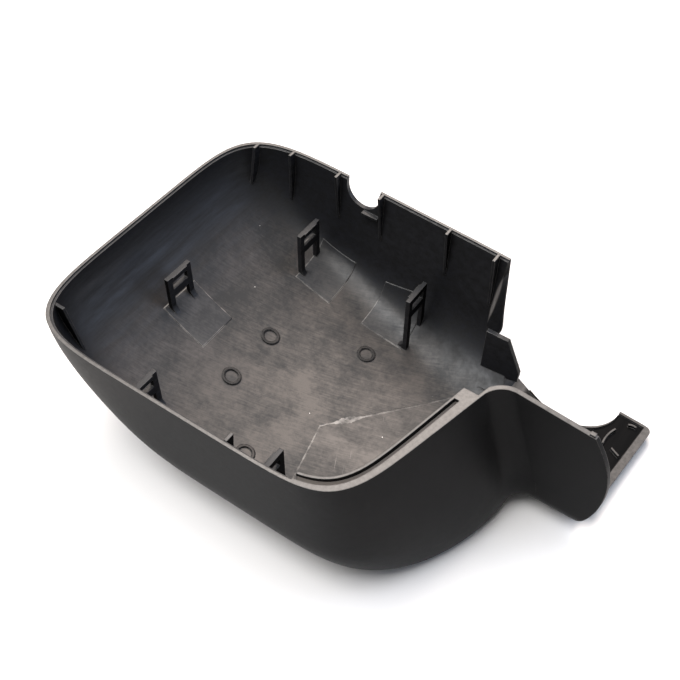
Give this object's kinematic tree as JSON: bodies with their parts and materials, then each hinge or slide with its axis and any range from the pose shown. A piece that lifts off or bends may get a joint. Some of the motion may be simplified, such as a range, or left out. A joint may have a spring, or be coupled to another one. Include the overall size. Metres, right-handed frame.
{
  "type": "wing mirror cover",
  "caption": "Moulded plastic wing mirror cover: a deep rounded bowl with a side neck, window clips inside, wall ribs and a cable notch.",
  "frame": {"origin": "middle of the wide inboard rim, on its flat top face, where the cover seats on the mirror head", "axes": "+X from the outboard rim toward the neck, +Y from the plain long wall to the long wall with the cable notch, +Z out of the open side, square to the rim plane"},
  "size_m": [0.2852, 0.1886, 0.089],
  "materials": {
    "moulded_plastic": "satin"
  },
  "bodies": {
    "root": {"mirror_cover": "moulded_plastic"}
  },
  "joints": []
}
